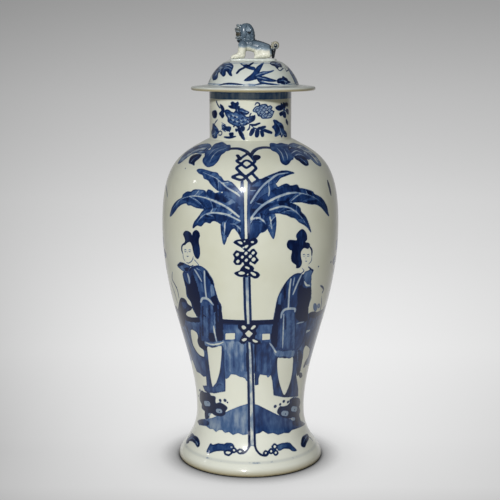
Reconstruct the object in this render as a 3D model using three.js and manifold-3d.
// Covered baluster vase (potiche) in blue and white porcelain, with a lion on its cover.
// Millimetres, +Z up. The origin is the middle of the foot, on the surface that the vase stands on.
// The lion looks along -X, and the vase is seen from the -Y side.
//
// The jar is thrown in four sections that are luted together: foot, lower body, shoulder and neck.
// The cover is a thrown dome with a wide flange, and a collar under it that drops into the neck.
// The lion is press-moulded, with its head, ears and tail luted on, and stands on a thin plinth.
import * as THREE from 'three';
import { mergeVertices } from 'three/addons/utils/BufferGeometryUtils.js';
import Module from 'manifold-3d';

const wasm = await Module();
wasm.setup();

// Jar, from the ground up
const footRadius = 75.25; // widest line of the spreading foot
const footRimRise = 2.5; // height of that line
const ringInset = 3.25; // how far the standing ring lies inside that line
const ringWidth = 6.5; // flat that the jar stands on
const recessDepth = 9; // hollow under the base
const recessCorner = 2.5;
const baseThickness = 7;
const floorRadius = 44; // flat of the floor inside
const waistRadius = 56.25;
const waistHeight = 52; // seam of the foot and the lower body
const bellyRadius = 90.5;
const bellyRise = 193.5; // from the waist up to the seam at the belly
const shoulderRise = 88.5; // from the belly up to the root of the neck
const neckRootSlope = THREE.MathUtils.degToRad(28); // steepness of the shoulder there, from level
const jarWall = 5;

// Neck
const neckRadius = 41.5;
const neckHeight = 48.75;
const neckWall = 4.25;
const neckFillet = 1.75; // glaze-filled corner at the root
const rimRound = 1; // worn edge of the rim, and of the collar

// Cover
const flangeRadius = 63;
const flangeThickness = 4;
const flangeFall = 1.75; // how far the flange drops from the dome to its edge
const domeRadius = 46.25; // where the dome springs from the flange
const domeHeight = 23.75; // from there to the flat top
const domeFlat = 23.5; // radius of the flat top
const domeWall = 4;
const collarPlay = 3.25; // gap all round between a centred collar and the neck
const collarDepth = 18;
const collarWall = 4;
const shiftShare = 0.86; // the cover sits off centre by this share of the play

// Lion and its plinth
const plinthLength = 47;
const plinthWidth = 25;
const plinthThickness = 2;
const plinthCorner = 5;
const lionLength = 48.75; // paw to tail
const lionWidth = 18;
const lionHeight = 35.75;
const pawReach = 22.5; // from the cover's axis to the tip of the paws
const luteGap = 0.3; // slip in a slanting or curved joint

// How each outline bows, as shares of the rise between its two ends
const footBowShares = [0.18, 0.62];
const bodyBowShares = [0.31, 0.42];
const shoulderBowShares = [0.747, 0.367];
const domeBowShares = [0.55, 0.31];
const domeLeanShare = 0.33; // how far the dome leans in as it starts, per unit of rise

// The lion's form: shares of its length (behind the paws), of half its width and of its height,
// and then each radius as a share of its height
const spineShares = [[0.72, 0, 0.24, 0.19], [0.60, 0, 0.30, 0.19], [0.46, 0, 0.36, 0.17],
  [0.34, 0, 0.41, 0.185], [0.29, 0, 0.43, 0.16]];
const forelegShares = [[0.262, 0.5, 0.34, 0.115], [0.225, 0.55, 0.19, 0.1], [0.18, 0.6, 0.09, 0.085],
  [0.05, 0.62, 0.062, 0.068]];
const hindPawShares = [[0.68, 0.68, 0.09, 0.085], [0.535, 0.72, 0.07, 0.075]];
const haunchShares = [0.675, 0.5, 0.185];
const haunchRadiusShares = [0.225, 0.12, 0.19];
const neckJointShares = [0.36, 0, 0.51];
const neckSlant = THREE.MathUtils.degToRad(12);
const maneShares = [[0.35, 0, 0.545, 0.2], [0.334, 0, 0.685, 0.2], [0.314, 0, 0.795, 0.2]];
const maneRowShares = [[0.35, 0.58, 0.17, 0.055], [0.338, 0.67, 0.17, 0.052], [0.325, 0.76, 0.17, 0.05]];
const beardShares = [[0.183, 0, 0.543, 0.056], [0.191, 0, 0.464, 0.042]];
// Face: skull, brows, nose, muzzle, lower jaw, cheeks and eyes, each a place and three radii
const faceShares = [[0.236, 0, 0.789, 0.145, 0.15, 0.157], [0.166, 0.29, 0.884, 0.06, 0.06, 0.06],
  [0.121, 0, 0.828, 0.056, 0.067, 0.053], [0.154, 0, 0.772, 0.084, 0.106, 0.062],
  [0.158, 0, 0.585, 0.084, 0.09, 0.045], [0.226, 0.47, 0.666, 0.084, 0.062, 0.095],
  [0.162, 0.4, 0.822, 0.034, 0.034, 0.034]];
const mouthShares = [0.22, 0.14, 0.075];
const mouthPlaceShares = [0.115, 0, 0.67];
const earShares = [[0.355, 0.77, 0.87, 0.036], [0.367, 0.84, 0.79, 0.053], [0.375, 0.88, 0.71, 0.025]];
const tailShares = [[0.868, 0, 0.014, 0.056], [0.874, 0, 0.14, 0.05], [0.863, 0, 0.27, 0.042],
  [0.87, 0, 0.385, 0.05], [0.918, 0, 0.43, 0.052], [0.958, 0, 0.385, 0.052], [0.958, 0, 0.32, 0.048],
  [0.926, 0, 0.296, 0.036]];

// Numbers of facets
const turns = 48;
const limbSides = 10;
const ballSides = 10;
const limbSteps = 3; // rings between two points of a limb's path
const capSteps = 3; // rings of a limb's round end
const locksPerRow = 8;
const lockSides = 6;

// Heights and radii that follow from the sizes above
const floorHeight = recessDepth + baseThickness;
const ringRadius = footRadius - ringInset;
const bellyHeight = waistHeight + bellyRise;
const neckRoot = bellyHeight + shoulderRise;
const rimHeight = neckRoot + neckHeight;
const boreRadius = neckRadius - neckWall;
const collarRadius = boreRadius - collarPlay;
const collarBore = collarRadius - collarWall;
const coverShift = collarPlay * shiftShare;
const domeFoot = flangeThickness + flangeFall;
const coverTop = domeFoot + domeHeight;

// Colours of the fired glaze, the bare clay and the washes on the lion
const glaze = { color: 0xd8d9cd, roughness: 0.16, metalness: 0 };
const bareClay = { color: 0xc9b998, roughness: 0.85, metalness: 0 };
const blueWash = { color: 0x3d5068, roughness: 0.2, metalness: 0 };
const brownWash = { color: 0x6a6247, roughness: 0.25, metalness: 0 };

// A plane point of an outline: radius and height.
function at(radius, height) {
  return new THREE.Vector2(radius, height);
}

// A curve through four plane points.
function bow(from, pullFrom, pullTo, to) {
  return new THREE.CubicBezierCurve(from, pullFrom, pullTo, to);
}

// A quarter round from one point to the next, bulging towards the corner.
function rounded(from, corner, to, steps) {
  return new THREE.QuadraticBezierCurve(from, corner, to).getPoints(steps);
}

// The inner side of a thrown wall: the outer curve moved in, square to itself, from its top down.
function innerSide(curve, wall, steps, top, bottom) {
  const line = [top];
  for (let step = steps - 1; step > 0; step--) {
    const along = curve.getTangent(step / steps);
    const outer = curve.getPoint(step / steps);
    line.push(at(outer.x - along.y * wall, outer.y + along.x * wall));
  }
  line.push(bottom);
  return line;
}

// Leaves out points that repeat the one before.
function withoutRepeats(points) {
  return points.filter((point, i) => i === 0 || point.distanceTo(points[i - 1]) > 0);
}

// Turns an outline about the vertical axis.
function revolve(points) {
  const geometry = new THREE.LatheGeometry(withoutRepeats(points), turns);
  geometry.rotateX(Math.PI / 2);
  return geometry;
}

// Turns a closed outline about the vertical axis.
function revolveRing(points) {
  return revolve([...points, points[0].clone()]);
}

// A closed geometry as a solid that can be joined and cut.
function toSolid(geometry) {
  geometry.deleteAttribute('normal');
  geometry.deleteAttribute('uv');
  const merged = mergeVertices(geometry);
  const corners = merged.index.array;
  const kept = [];
  for (let i = 0; i < corners.length; i += 3) {
    const [a, b, c] = corners.slice(i, i + 3);
    if (a !== b && b !== c && c !== a) kept.push(a, b, c);
  }
  const vertProperties = Float32Array.from(merged.attributes.position.array);
  return new wasm.Manifold(new wasm.Mesh({ numProp: 3, vertProperties, triVerts: Uint32Array.from(kept) }));
}

function toGeometry(solid) {
  const mesh = solid.getMesh();
  const geometry = new THREE.BufferGeometry();
  geometry.setAttribute('position', new THREE.BufferAttribute(mesh.vertProperties, 3));
  geometry.setIndex(new THREE.BufferAttribute(mesh.triVerts, 1));
  geometry.computeVertexNormals();
  return geometry;
}

function joined(solids) {
  return solids.reduce((whole, piece) => whole.add(piece));
}

function named(name, geometry, finish) {
  const mesh = new THREE.Mesh(geometry, new THREE.MeshStandardMaterial(finish));
  mesh.name = name;
  return mesh;
}

// Outer outlines of the jar. Each stands upright at the waist and at the belly.
const footLine = bow(
  at(footRadius, footRimRise),
  at(footRadius, footRimRise + (waistHeight - footRimRise) * footBowShares[0]),
  at(waistRadius, waistHeight - (waistHeight - footRimRise) * footBowShares[1]),
  at(waistRadius, waistHeight),
);
const bodyLine = bow(
  at(waistRadius, waistHeight),
  at(waistRadius, waistHeight + bellyRise * bodyBowShares[0]),
  at(bellyRadius, bellyHeight - bellyRise * bodyBowShares[1]),
  at(bellyRadius, bellyHeight),
);
const rootPoint = at(neckRadius + neckFillet, neckRoot);
const rootWay = at(-Math.cos(neckRootSlope), Math.sin(neckRootSlope));
const shoulderLine = bow(
  at(bellyRadius, bellyHeight),
  at(bellyRadius, bellyHeight + shoulderRise * shoulderBowShares[0]),
  rootPoint.clone().addScaledVector(rootWay, -shoulderRise * shoulderBowShares[1]),
  rootPoint,
);

// Foot: the spreading foot with its standing ring, the recessed base and the floor inside.
function footSection() {
  const recessRadius = ringRadius - ringWidth;
  const waistInside = at(waistRadius - jarWall, waistHeight);
  const wallFoot = at(floorRadius, floorHeight);
  const inside = bow(
    waistInside,
    at(waistInside.x, THREE.MathUtils.lerp(waistHeight, floorHeight, footBowShares[1])),
    at(waistInside.x, floorHeight),
    wallFoot,
  );
  return revolve([
    at(0, recessDepth),
    ...rounded(at(recessRadius - recessCorner, recessDepth), at(recessRadius, recessDepth),
      at(recessRadius, recessDepth - recessCorner), 2),
    at(recessRadius, 0),
    ...rounded(at(ringRadius, 0), at(footRadius, 0), at(footRadius, footRimRise), 2),
    ...footLine.getPoints(9),
    ...inside.getPoints(5),
    at(0, floorHeight),
  ]);
}

// Lower body: a thrown tube that swells from the waist to the belly.
function lowerSection() {
  const top = at(bellyRadius - jarWall, bellyHeight);
  const bottom = at(waistRadius - jarWall, waistHeight);
  return revolveRing([...bodyLine.getPoints(11), ...innerSide(bodyLine, jarWall, 6, top, bottom)]);
}

// Shoulder: from the belly seam over the round shoulder to the root of the neck.
function shoulderSection() {
  const insideRoot = rootPoint.clone().sub(at(rootWay.y, -rootWay.x).multiplyScalar(jarWall));
  const bellyInside = at(bellyRadius - jarWall, bellyHeight);
  return revolveRing([
    ...shoulderLine.getPoints(13),
    at(boreRadius, neckRoot),
    ...innerSide(shoulderLine, jarWall, 7, insideRoot, bellyInside),
  ]);
}

// Neck: a straight tube with a filled corner at its root and a rounded rim.
function neckSection() {
  return revolveRing([
    ...rounded(rootPoint, at(neckRadius, neckRoot), at(neckRadius, neckRoot + neckFillet), 2),
    at(neckRadius, rimHeight - rimRound),
    at(neckRadius - rimRound, rimHeight),
    at(boreRadius + rimRound, rimHeight),
    at(boreRadius, rimHeight - rimRound),
    at(boreRadius, neckRoot),
  ]);
}

// Outer outline of the dome, leaning in from the flange and turning level at the flat top.
const domeLine = bow(
  at(domeRadius, domeFoot),
  at(domeRadius - domeHeight * domeBowShares[0] * domeLeanShare, domeFoot + domeHeight * domeBowShares[0]),
  at(domeFlat + domeHeight * domeBowShares[1], coverTop),
  at(domeFlat, coverTop),
);

// Dome and flange. The flange lies flat on the rim, and a ledge runs inwards over the collar.
function domeSection() {
  const ledge = at(domeRadius - domeWall, flangeThickness);
  const roof = at(domeFlat, coverTop - domeWall);
  const edge = at(flangeRadius, flangeThickness / 2);
  const flangeRound = flangeThickness / 2;
  return revolve([
    at(0, coverTop - domeWall),
    ...innerSide(domeLine, domeWall, 6, roof, ledge),
    at(collarBore, flangeThickness),
    at(collarBore, 0),
    ...rounded(at(flangeRadius - flangeRound, 0), at(flangeRadius, 0), edge, 2),
    ...rounded(edge, at(flangeRadius, flangeThickness), at(flangeRadius - flangeRound, flangeThickness), 2),
    ...domeLine.getPoints(9),
    at(0, coverTop),
  ]);
}

// Collar: the ring under the cover that keeps it from sliding off the neck.
function collarRing() {
  return revolveRing([
    at(collarBore, rimRound - collarDepth),
    at(collarBore + rimRound, -collarDepth),
    at(collarRadius - rimRound, -collarDepth),
    at(collarRadius, rimRound - collarDepth),
    at(collarRadius, 0),
    at(collarBore, 0),
  ]);
}


// A point of the lion, from shares of its length behind the paws, of half its width and of its height.
function onLion([along, across, up]) {
  return new THREE.Vector3(along * lionLength - pawReach, across * lionWidth / 2, up * lionHeight);
}

// A box that the lion's parts are cut with, turned about the axis across them.
function block(size, middle, turn) {
  const geometry = new THREE.BoxGeometry(size.x, size.y, size.z);
  geometry.rotateY(turn);
  geometry.translate(middle.x, middle.y, middle.z);
  return toSolid(geometry);
}

// An ellipsoid of clay. Its radii are shares of the lion's height, and swell widens it all round.
function ball(middleShares, radiusShares, swell, sides = ballSides) {
  const geometry = new THREE.SphereGeometry(1, sides, Math.ceil(sides * 3 / 5));
  const [x, y, z] = radiusShares.map((share) => share * lionHeight + swell);
  geometry.scale(x, y, z);
  const middle = onLion(middleShares);
  geometry.translate(middle.x, middle.y, middle.z);
  return toSolid(geometry);
}

// A limb of clay: circles square to a smooth path, their radii shares of the lion's height, with round ends.
function limb(pathShares, swell) {
  const path = new THREE.CatmullRomCurve3(pathShares.map(onLion));
  const girth = new THREE.SplineCurve(pathShares.map((share, i) => at(i, share[3] * lionHeight + swell)));
  const steps = (pathShares.length - 1) * limbSteps;
  const rings = [];
  const addRing = (u, tilt) => {
    const along = path.getTangent(u);
    const radius = girth.getPoint(u).y;
    const middle = path.getPoint(u).addScaledVector(along, radius * Math.sin(tilt));
    const side = new THREE.Vector3(0, 1, 0).projectOnPlane(along).normalize();
    const up = side.clone().cross(along);
    rings.push(Array.from({ length: limbSides }, (_, i) => {
      const angle = i / limbSides * 2 * Math.PI;
      const reach = radius * Math.cos(tilt);
      return middle.clone().addScaledVector(side, reach * Math.cos(angle)).addScaledVector(up, reach * Math.sin(angle));
    }));
  };
  for (let cap = capSteps; cap > 0; cap--) addRing(0, -cap / capSteps * Math.PI / 2);
  for (let step = 0; step <= steps; step++) addRing(step / steps, 0);
  for (let cap = 1; cap <= capSteps; cap++) addRing(1, cap / capSteps * Math.PI / 2);
  return toSolid(skin(rings));
}

// The skin over a row of rings, whose first and last ring are drawn in to a point.
function skin(rings) {
  const points = rings.flat();
  const corners = [];
  for (let ring = 0; ring + 1 < rings.length; ring++) {
    for (let i = 0; i < limbSides; i++) {
      const near = ring * limbSides + i;
      const next = ring * limbSides + (i + 1) % limbSides;
      corners.push(near, next + limbSides, next, near, near + limbSides, next + limbSides);
    }
  }
  const geometry = new THREE.BufferGeometry().setFromPoints(points);
  geometry.setIndex(corners);
  return geometry;
}

// Both sides of a pair: the shares as given, and mirrored across the lion's middle plane.
function pair(make) {
  return [make(-1), make(1)];
}

// The crouching body: back, chest, outstretched forelegs, folded haunches and hind paws.
function bodyShape(swell) {
  const forelegs = pair((side) => limb(forelegShares.map(([x, y, z, r]) => [x, side * y, z, r]), swell));
  const hindPaws = pair((side) => limb(hindPawShares.map(([x, y, z, r]) => [x, side * y, z, r]), swell));
  const haunches = pair((side) => ball([haunchShares[0], side * haunchShares[1], haunchShares[2]],
    haunchRadiusShares, swell));
  return joined([limb(spineShares, swell), ...forelegs, ...haunches, ...hindPaws]);
}

// A block on one side of the slanting joint between head and body: 1 above it, -1 below it.
function besideNeck(side) {
  const size = new THREE.Vector3(lionLength, lionWidth, lionHeight).multiplyScalar(2);
  const up = new THREE.Vector3(Math.sin(-neckSlant), 0, Math.cos(-neckSlant));
  const middle = onLion(neckJointShares).addScaledVector(up, side * (size.z - luteGap) / 2);
  return block(size, middle, -neckSlant);
}

// A block under the soles, so that they are flat.
function underSoles() {
  const size = new THREE.Vector3(lionLength, lionWidth, lionHeight).multiplyScalar(2);
  return block(size, new THREE.Vector3(0, 0, -size.z / 2), 0);
}

function lionBody() {
  return bodyShape(0).subtract(underSoles()).subtract(besideNeck(1));
}

// Locks of the mane: rings of curls round the neck and over the crown.
function maneLocks(swell) {
  const locks = [];
  maneRowShares.forEach(([along, up, reach, size], row) => {
    for (let i = 0; i < locksPerRow; i++) {
      const angle = (i + row / 2) / locksPerRow * 2 * Math.PI;
      const across = reach * lionHeight * Math.sin(angle) / (lionWidth / 2);
      const back = reach * lionHeight * Math.cos(angle) / lionLength;
      locks.push(ball([along + back, across, up], [size, size, size], swell, lockSides));
    }
  });
  return locks;
}

// Head: mane, face, brows, nose, open jaws, cheeks, eyes and beard, before the mouth is cut.
function headShape(swell) {
  const features = faceShares.flatMap(([x, y, z, rx, ry, rz]) => {
    const sides = y === 0 ? [1] : [-1, 1];
    return sides.map((side) => ball([x, side * y, z], [rx, ry, rz], swell));
  });
  return joined([limb(maneShares, swell), limb(beardShares, swell), ...features, ...maneLocks(swell)]);
}

function lionHead() {
  const [mouthLength, mouthWidth, mouthGape] = mouthShares.map((share) => share * lionHeight);
  const mouth = block(new THREE.Vector3(mouthLength, mouthWidth, mouthGape), onLion(mouthPlaceShares), 0);
  return headShape(0).subtract(mouth).subtract(besideNeck(-1));
}

// A drooping ear, hollowed at the back where it lies on the mane.
function lionEar(side) {
  const shape = limb(earShares.map(([x, y, z, r]) => [x, side * y, z, r]), 0);
  return shape.subtract(headShape(luteGap));
}

// Tail: a stem up the rump that curls over into a scroll.
function lionTail() {
  return limb(tailShares, 0).subtract(underSoles()).subtract(bodyShape(luteGap));
}

// Thin slab with round corners under the lion.
function plinthSlab() {
  const x = plinthLength / 2 - plinthCorner;
  const y = plinthWidth / 2 - plinthCorner;
  const outline = new THREE.Shape();
  outline.absarc(x, y, plinthCorner, 0, Math.PI / 2);
  outline.absarc(-x, y, plinthCorner, Math.PI / 2, Math.PI);
  outline.absarc(-x, -y, plinthCorner, Math.PI, Math.PI * 3 / 2);
  outline.absarc(x, -y, plinthCorner, Math.PI * 3 / 2, Math.PI * 2);
  return new THREE.ExtrudeGeometry(outline, { depth: plinthThickness, bevelEnabled: false, curveSegments: 5 });
}

const jar = new THREE.Group();
jar.add(named('jar_foot', footSection(), glaze));
jar.add(named('jar_lower_body', lowerSection(), glaze));
jar.add(named('jar_shoulder', shoulderSection(), glaze));
jar.add(named('jar_neck', neckSection(), glaze));

const lion = new THREE.Group();
lion.position.z = coverTop + plinthThickness;
lion.add(named('lion_body', toGeometry(lionBody()), glaze));
lion.add(named('lion_head', toGeometry(lionHead()), blueWash));
lion.add(named('lion_ear_near', toGeometry(lionEar(-1)), blueWash));
lion.add(named('lion_ear_far', toGeometry(lionEar(1)), blueWash));
lion.add(named('lion_tail', toGeometry(lionTail()), brownWash));

const cover = new THREE.Group();
cover.position.set(coverShift, 0, rimHeight);
cover.add(named('cover_dome', domeSection(), glaze));
cover.add(named('cover_collar', collarRing(), bareClay));
const plinth = named('lion_plinth', plinthSlab(), glaze);
plinth.position.z = coverTop;
cover.add(plinth, lion);

const potiche = new THREE.Group();
potiche.add(jar, cover);
export default potiche;
